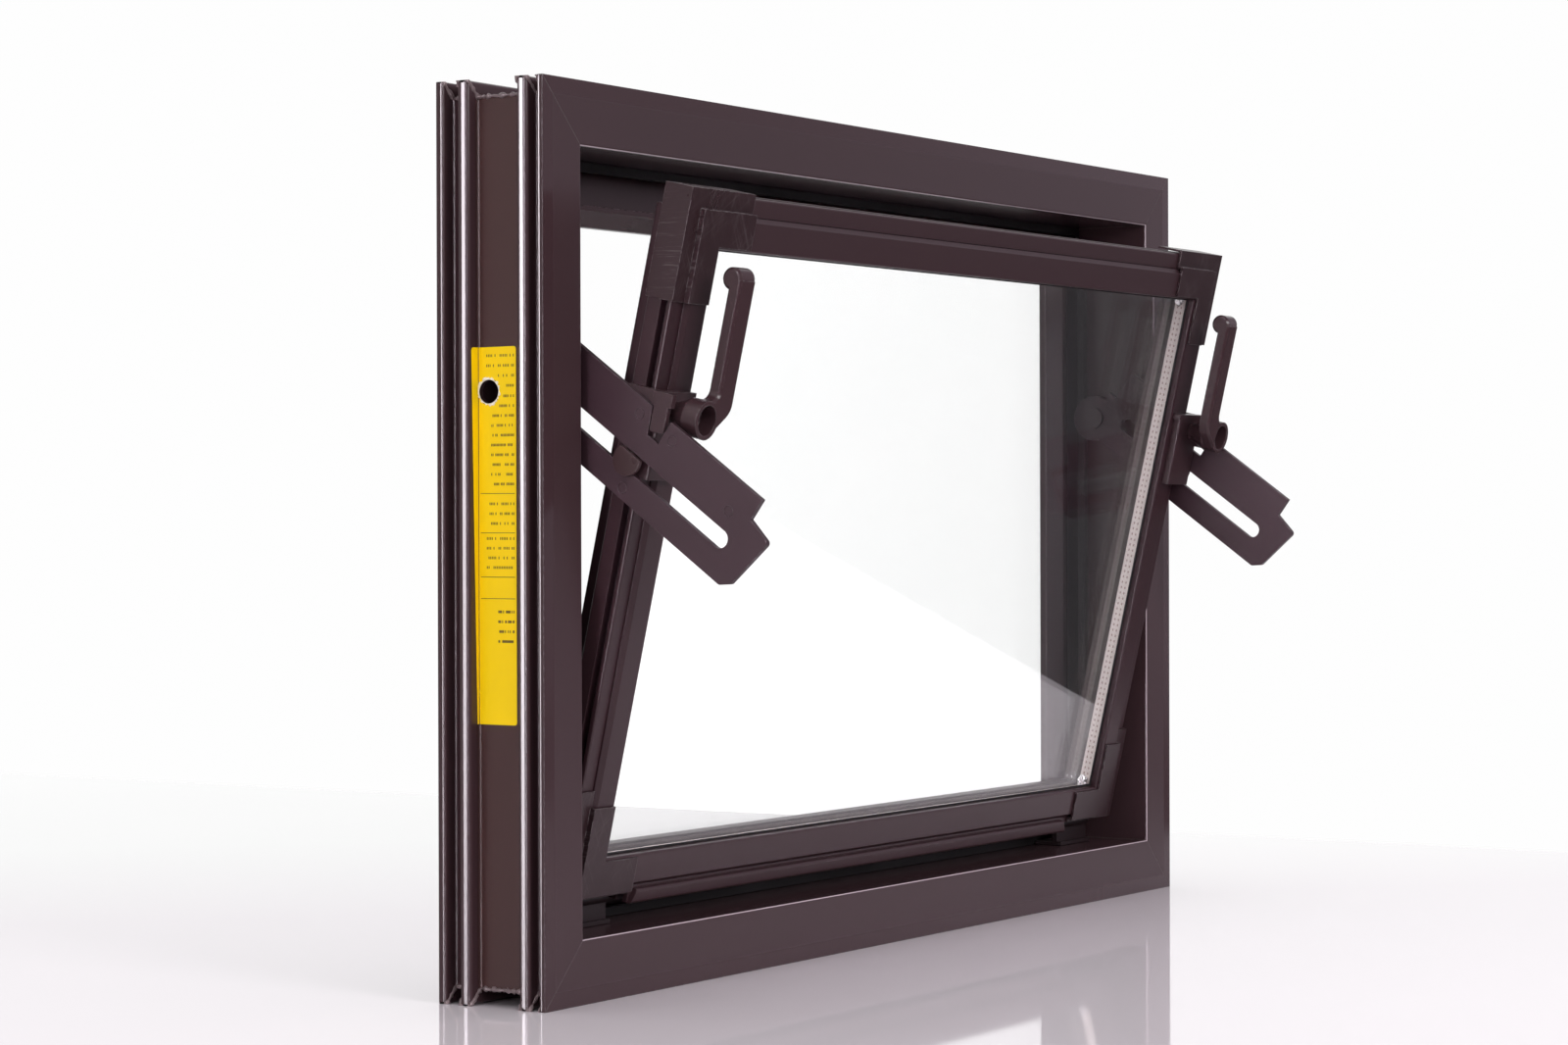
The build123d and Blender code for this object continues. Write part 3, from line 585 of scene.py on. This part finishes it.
# rows of dots, thinned out at random and left clear round the hole
dot_brown = plastic("sticker_dots", dark=(0.035, 0.022, 0.002), light=(0.12, 0.075, 0.003),
                    rough=0.5, edge=0.0001)[0]
dot_rows, dot_in, dot_out = node_tree("sticker_rows", [
    ("Width", "NodeSocketFloat"), ("Height", "NodeSocketFloat"), ("Columns", "NodeSocketInt"),
    ("Rows", "NodeSocketInt"), ("Dot", "NodeSocketVector"), ("Kept", "NodeSocketFloat"),
    ("Hole", "NodeSocketVector"), ("Clear", "NodeSocketFloat"), ("Centre", "NodeSocketVector")])
grid = dot_rows.nodes.new("GeometryNodeMeshGrid")
stand = dot_rows.nodes.new("GeometryNodeTransform")
stand.inputs["Rotation"].default_value = (0, radians(90), 0)
chance = dot_rows.nodes.new("FunctionNodeRandomValue")
chance.data_type = "BOOLEAN"
chance.inputs["Seed"].default_value = 7
chosen = [s for s in chance.outputs if s.type == "BOOLEAN"][0]
spot = dot_rows.nodes.new("GeometryNodeInputPosition")
gap = dot_rows.nodes.new("ShaderNodeVectorMath")
gap.operation = "DISTANCE"
near = dot_rows.nodes.new("FunctionNodeCompare")
near.operation = "LESS_THAN"
drop_near = dot_rows.nodes.new("GeometryNodeDeleteGeometry")
dots = dot_rows.nodes.new("GeometryNodeInstanceOnPoints")
one_dot = dot_rows.nodes.new("GeometryNodeMeshCube")
real = dot_rows.nodes.new("GeometryNodeRealizeInstances")
painter = dot_rows.nodes.new("GeometryNodeSetMaterial")
painter.inputs["Material"].default_value = dot_brown
for source, target in (
        (dot_in.outputs["Height"], grid.inputs["Size X"]),
        (dot_in.outputs["Width"], grid.inputs["Size Y"]),
        (dot_in.outputs["Rows"], grid.inputs["Vertices X"]),
        (dot_in.outputs["Columns"], grid.inputs["Vertices Y"]),
        (grid.outputs["Mesh"], stand.inputs["Geometry"]),
        (dot_in.outputs["Centre"], stand.inputs["Translation"]),
        (stand.outputs["Geometry"], drop_near.inputs["Geometry"]),
        (spot.outputs["Position"], gap.inputs[0]),
        (dot_in.outputs["Hole"], gap.inputs[1]),
        (gap.outputs["Value"], near.inputs["A"]),
        (dot_in.outputs["Clear"], near.inputs["B"]),
        (near.outputs["Result"], drop_near.inputs["Selection"]),
        (drop_near.outputs["Geometry"], dots.inputs["Points"]),
        (dot_in.outputs["Kept"], chance.inputs["Probability"]),
        (chosen, dots.inputs["Selection"]),
        (dot_in.outputs["Dot"], one_dot.inputs["Size"]),
        (one_dot.outputs["Mesh"], dots.inputs["Instance"]),
        (dots.outputs["Instances"], real.inputs["Geometry"]),
        (real.outputs["Geometry"], painter.inputs["Geometry"]),
        (painter.outputs["Geometry"], dot_out.inputs["Geometry"])):
    dot_rows.links.new(source, target)
sticker_face = sticker_x - sticker_thick
row_pitch, dots_in_row, kept_share = 0.00425, 17, 0.72
dot_size = (0.00004, 0.00050, 0.00115)
clear_r = 0.0078
# each block of rows: lowest and highest row, and the two ends of its rows
blocks = ((0.2680, 0.2810, 0.0208, 0.0350), (0.2255, 0.2635, 0.0208, 0.0325),
          (0.2085, 0.2170, 0.0208, 0.0335), (0.1895, 0.2020, 0.0208, 0.0350),
          (0.1576, 0.1704, 0.0208, 0.0290))
for number, (low, high, near_y, far_y) in enumerate(blocks):
    block_rows = add_mesh("sticker_rows_" + str(number), [(0, 0, 0)], [])
    grown(block_rows, dot_rows, {
        "Width": far_y - near_y, "Height": high - low, "Columns": dots_in_row,
        "Rows": max(2, round((high - low) / row_pitch) + 1), "Dot": dot_size, "Kept": kept_share,
        "Clear": clear_r, "Hole": (sticker_face, hole_y, hole_z),
        "Centre": (sticker_face, (near_y + far_y) / 2, (low + high) / 2)})
    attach(block_rows, "root")

rule_z = (0.2213, 0.2043, 0.1852, 0.1759)
rule_far, rule_near, rule_thick, rule_lift = 0.0385, 0.0202, 0.0003, 0.00003
points, faces = [], []
for z in rule_z:
    faces.append(tuple(range(len(points), len(points) + 4)))
    points += [(sticker_face - rule_lift, y, height) for y, height in
               ((rule_far, z), (rule_near, z), (rule_near, z + rule_thick),
                (rule_far, z + rule_thick))]
rules = add_mesh("sticker_rules", points, faces, dot_brown)
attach(rules, "root")

# Seals
# Soft black rubber: one ring in the corner of the frame's stop, and a thin lip on each
# side of the glazing, pressed between the glass and the bars.
rubber = plastic("rubber_black", dark=(0.010, 0.009, 0.010), light=(0.016, 0.014, 0.015),
                 rough=0.55, fine_scale=1500, edge=0.0002)[0]
dress(rubber, "frame_seal", "glazing_seal_room", "glazing_seal_outside")

# Sash
# The tilted inner frame of the same extruded plastic, with the glazing beads that snap
# into it and hold the panes, and a rounded strip along its foot.
sash_level = plastic("sash_level", dark=(0.029, 0.0140, 0.0172), light=(0.036, 0.0175, 0.0212),
                     rough=0.3, stretch=(0.02, 1, 1), edge=0.0004)[0]
# the stiles and their beads get a darker copy of the rails' plastic: painted shade
sash_upright_shaded = plastic("sash_upright_shaded", dark=(0.024, 0.0105, 0.0135),
                       light=(0.031, 0.0138, 0.0175), rough=0.3, stretch=(1, 1, 0.02),
                       edge=0.0004)[0]
dress(sash_level, "sash_bottom", "sash_top", "bead_bottom", "bead_top", "foot_strip")
dress(sash_upright_shaded, "sash_left", "sash_right", "bead_left", "bead_right")

# Corner caps
# Moulded angles of the same plastic, pushed over the sash corners. They were sanded to
# fit, which left crossing scratches and pale, worn edges.
cap_plastic, tree, shader, colour, roughness = plastic(
    "cap_sanded", dark=(0.017, 0.0075, 0.0095), light=(0.025, 0.0115, 0.0140), rough=0.30,
    fine_scale=1200, edge=0.0005, wear_and_sheen_amount=0.8)[:5]
scratch_tone = (0.085, 0.066, 0.070)
scratch_share, scratch_rough = 0.7, 0.2
scratch_from, scratch_to = 0.60, 0.70
patch_scale, patch_from, patch_to, patch_least = 70.0, 0.40, 0.60, 0.1
where = object_place(tree)
strokes = 0.0
for angle, along, across in ((0.62, 28, 1900), (-0.95, 24, 1500), (1.35, 40, 2300)):
    turned = tree.nodes.new("ShaderNodeMapping")
    turned.inputs["Rotation"].default_value = (0, angle, 0)
    stretched = tree.nodes.new("ShaderNodeMapping")
    stretched.inputs["Scale"].default_value = (along, 60, across)
    tree.links.new(where, turned.inputs["Vector"])
    tree.links.new(turned.outputs["Vector"], stretched.inputs["Vector"])
    lines = noise(tree, stretched.outputs["Vector"], 1.0)
    strokes = calc(tree, "MAXIMUM", ramp(tree, lines, scratch_from, scratch_to, 0, 1), strokes)
patches = ramp(tree, noise(tree, where, patch_scale), patch_from, patch_to, patch_least, 1)
strokes = calc(tree, "MULTIPLY", strokes, patches)
colour = mix_colour(tree, calc(tree, "MULTIPLY", strokes, scratch_share), colour, scratch_tone)
tree.links.new(colour, shader.inputs["Base Color"])
tree.links.new(calc(tree, "MULTIPLY_ADD", strokes, scratch_rough, roughness),
               shader.inputs["Roughness"])
dress(cap_plastic, "cap_top_left", "cap_top_right", "cap_bottom_left", "cap_bottom_right")

# Panes
# Two sheets of clear float glass whose tint drifts very slightly, sealed round the
# spacer bar that holds them apart.
glass_ior = 1.52
drift_scale = 9.0
glass, tree, shader = new_material("float_glass")
shader.inputs["Roughness"].default_value = 0.0
shader.inputs["IOR"].default_value = glass_ior
shader.inputs["Transmission Weight"].default_value = 1.0
drift = noise(tree, object_place(tree), drift_scale)
tree.links.new(mix_colour(tree, drift, (0.985, 0.99, 0.988), (1.0, 1.0, 1.0)),
               shader.inputs["Base Color"])
dress(glass, "pane_room", "pane_outside")

# Spacer
# A hollow bar of pale metal between the panes, with two rows of small slits round its
# inner face, over the drying beads inside. Geometry Nodes place the slits.
spacer_metal = plastic("spacer_metal", dark=(0.80, 0.70, 0.65), light=(0.93, 0.85, 0.80),
                       rough=0.35, fine_scale=1400, edge=0.0003)[0]
dress(spacer_metal, "spacer")
tilt = radians(12.8)
foot = Vector((0.0, 0.0213, 0.0372))
up_sash = Vector((0.0, -sin(tilt), cos(tilt)))
into_sash = Vector((0.0, cos(tilt), sin(tilt)))
sash_half, sash_tall = 0.2598, 0.3213


def on_sash(across, height, depth):
    """A point by its place across, its height up the sash and its depth behind the band."""
    return foot + Vector((across, 0, 0)) + up_sash * height + into_sash * depth


slit_pink = plastic("slit_pink", dark=(0.40, 0.28, 0.25), light=(0.55, 0.42, 0.38), rough=0.4,
                    edge=0.0001)[0]
slits, slits_in, slits_out = node_tree("spacer_slits", [
    ("Pitch", "NodeSocketFloat"), ("Size", "NodeSocketVector"), ("Turn", "NodeSocketVector")])
to_curve = slits.nodes.new("GeometryNodeMeshToCurve")
stepped = slits.nodes.new("GeometryNodeResampleCurve")
stepped.mode = "LENGTH"
one_slit = slits.nodes.new("GeometryNodeMeshCube")
placer = slits.nodes.new("GeometryNodeInstanceOnPoints")
turner = slits.nodes.new("FunctionNodeEulerToRotation")
real = slits.nodes.new("GeometryNodeRealizeInstances")
painter = slits.nodes.new("GeometryNodeSetMaterial")
painter.inputs["Material"].default_value = slit_pink
for source, target in (
        (slits_in.outputs["Geometry"], to_curve.inputs["Mesh"]),
        (to_curve.outputs["Curve"], stepped.inputs["Curve"]),
        (slits_in.outputs["Pitch"], stepped.inputs["Length"]),
        (stepped.outputs["Curve"], placer.inputs["Points"]),
        (slits_in.outputs["Size"], one_slit.inputs["Size"]),
        (one_slit.outputs["Mesh"], placer.inputs["Instance"]),
        (slits_in.outputs["Turn"], turner.inputs["Euler"]),
        (turner.outputs["Rotation"], placer.inputs["Rotation"]),
        (placer.outputs["Instances"], real.inputs["Geometry"]),
        (real.outputs["Geometry"], painter.inputs["Geometry"]),
        (painter.outputs["Geometry"], slits_out.inputs["Geometry"])):
    slits.links.new(source, target)
slit_pitch, slit_long, slit_wide, slit_proud = 0.0030, 0.0012, 0.0008, 0.00012
inner = 0.0219
row_depths = (0.0077, 0.0099)
corner = 0.0045
side_x, end_x = sash_half - inner, sash_half - inner - corner
foot_v, head_v = inner, sash_tall - inner
upright_slit = (slit_proud, slit_wide, slit_long)
level_slit = (slit_long, slit_wide, slit_proud)
for name, ends, slit_size in (
        ("left", ((-side_x, foot_v + corner), (-side_x, head_v - corner)), upright_slit),
        ("right", ((side_x, foot_v + corner), (side_x, head_v - corner)), upright_slit),
        ("bottom", ((-end_x, foot_v), (end_x, foot_v)), level_slit),
        ("top", ((-end_x, head_v), (end_x, head_v)), level_slit)):
    lines = [on_sash(across, height, depth) for depth in row_depths for across, height in ends]
    strip = add_mesh("slits_" + name, lines, [])
    strip.data.edges.add(len(row_depths))
    strip.data.edges.foreach_set("vertices", range(len(lines)))
    grown(strip, slits, {"Pitch": slit_pitch, "Size": slit_size, "Turn": (tilt, 0.0, 0.0)})
    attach(strip, "root")

# Corner keys
# Lumps of crumpled bright foil over the metal angles that close the spacer where its
# bars meet. They are pressed in between the panes.
foil, tree, shader = plastic("corner_foil", dark=(0.80, 0.77, 0.78), light=(0.97, 0.95, 0.95),
                             rough=0.16, fine_scale=500, broad_scale=160, relief=0.0004,
                             edge=0.0002)[:3]
shader.inputs["Metallic"].default_value = 0.8
key_half = Vector((0.0030, 0.0024, 0.0042))
key_in, key_depth, crumple = 0.0022, 0.0088, 0.22
rng = random.Random(11)
for side, side_name in ((-1, "left"), (1, "right")):
    for top, row_name in ((0, "bottom"), (1, "top")):
        key = bmesh.new()
        bmesh.ops.create_icosphere(key, subdivisions=3, radius=1.0)
        centre_v = head_v - key_in if top else foot_v + key_in
        for vert in key.verts:
            crease = 1 + rng.uniform(-crumple, crumple)
            spot = vert.co * crease
            vert.co = on_sash(side * (side_x - key_in) + spot.x * key_half.x,
                              centre_v + spot.z * key_half.z, key_depth + spot.y * key_half.y)
        piece = add_mesh("corner_key_" + row_name + "_" + side_name, [], [], foil)
        key.to_mesh(piece.data)
        key.free()
        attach(piece, "root")

# Stays
# Flat moulded plates with a long slot and a locking notch. Each turns on a headed pin in
# the jamb and slides on a plastic pin fixed to the sash.
stay_plastic = plastic("stay_moulded", dark=(0.028, 0.0135, 0.0180),
                       light=(0.035, 0.0172, 0.0228), rough=0.36, fine_scale=1000,
                       edge=0.0005, wear_and_sheen_amount=0.25)[0]
dress(stay_plastic, "left_stay", "right_stay")
# four round marks of the mould's ejector pins stand on the outer face of each stay
marks, marks_in, marks_out = node_tree("ejector_marks", [
    ("Radius", "NodeSocketFloat"), ("Ridge", "NodeSocketFloat"), ("Turn", "NodeSocketVector")])
ring_line = marks.nodes.new("GeometryNodeCurvePrimitiveCircle")
ring_line.inputs["Resolution"].default_value = 36
ring_section = marks.nodes.new("GeometryNodeCurvePrimitiveCircle")
ring_section.inputs["Resolution"].default_value = 6
ring_mesh = marks.nodes.new("GeometryNodeCurveToMesh")
placer = marks.nodes.new("GeometryNodeInstanceOnPoints")
turner = marks.nodes.new("FunctionNodeEulerToRotation")
real = marks.nodes.new("GeometryNodeRealizeInstances")
painter = marks.nodes.new("GeometryNodeSetMaterial")
painter.inputs["Material"].default_value = stay_plastic
for source, target in (
        (marks_in.outputs["Radius"], ring_line.inputs["Radius"]),
        (marks_in.outputs["Ridge"], ring_section.inputs["Radius"]),
        (ring_line.outputs["Curve"], ring_mesh.inputs["Curve"]),
        (ring_section.outputs["Curve"], ring_mesh.inputs["Profile Curve"]),
        (marks_in.outputs["Geometry"], placer.inputs["Points"]),
        (ring_mesh.outputs["Mesh"], placer.inputs["Instance"]),
        (marks_in.outputs["Turn"], turner.inputs["Euler"]),
        (turner.outputs["Rotation"], placer.inputs["Rotation"]),
        (placer.outputs["Instances"], real.inputs["Geometry"]),
        (real.outputs["Geometry"], painter.inputs["Geometry"]),
        (painter.outputs["Geometry"], marks_out.inputs["Geometry"])):
    marks.links.new(source, target)
stay_face_x = 0.2670
mark_r, mark_ridge = 0.0023, 0.00022
mark_places = ((-0.0270, 0.2557), (-0.0438, 0.2435), (-0.0724, 0.2136), (-0.0179, 0.2238))
for side, side_name in ((-1, "left"), (1, "right")):
    ringed = add_mesh("ejector_marks_" + side_name,
                      [(side * stay_face_x, y, z) for y, z in mark_places], [])
    grown(ringed, marks, {"Radius": mark_r, "Ridge": mark_ridge, "Turn": (0, radians(90), 0)})
    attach(ringed, "root")

pin_plastic = plastic("pin_moulded", dark=(0.030, 0.0150, 0.0170), light=(0.040, 0.0200, 0.0220),
                      rough=0.28, fine_scale=1100, edge=0.0005, wear_and_sheen_amount=0.2)[0]
dress(pin_plastic, "left_slide_pin", "right_slide_pin")
pivot_plastic = plastic("pivot_moulded", dark=(0.024, 0.0115, 0.0145),
                        light=(0.032, 0.0155, 0.0190), rough=0.4, fine_scale=1100,
                        edge=0.0005)[0]
dress(pivot_plastic, "left_stay_pivot", "right_stay_pivot")

# Locks and levers
# Moulded cases on the stiles, whose tongue drops into the notch of the stay when the
# shiny lever is turned.
lock_plastic = plastic("lock_moulded", dark=(0.030, 0.0145, 0.0180),
                       light=(0.038, 0.0190, 0.0230), rough=0.3, fine_scale=1000,
                       edge=0.0006, wear_and_sheen_amount=0.3)[0]
dress(lock_plastic, "left_lock_case", "right_lock_case")
lever_plastic = plastic("lever_moulded", dark=(0.034, 0.0170, 0.0200),
                        light=(0.042, 0.0210, 0.0250), rough=0.2, relief=0.00001,
                        edge=0.0009, wear_and_sheen_amount=0.15)[0]
dress(lever_plastic, "left_lever", "right_lever")

# Hinges
# Low moulded knuckles between the lower frame bar and the notches of the sash, in the
# shade at the foot of the window. Their near-black colour is dark plastic deepened with
# painted shade.
hinge_shaded_plastic = plastic("hinge_moulded", dark=(0.010, 0.0050, 0.0062),
                        light=(0.015, 0.0080, 0.0095), rough=0.4, fine_scale=1000,
                        edge=0.0005)[0]
dress(hinge_shaded_plastic, "left_hinge", "right_hinge")
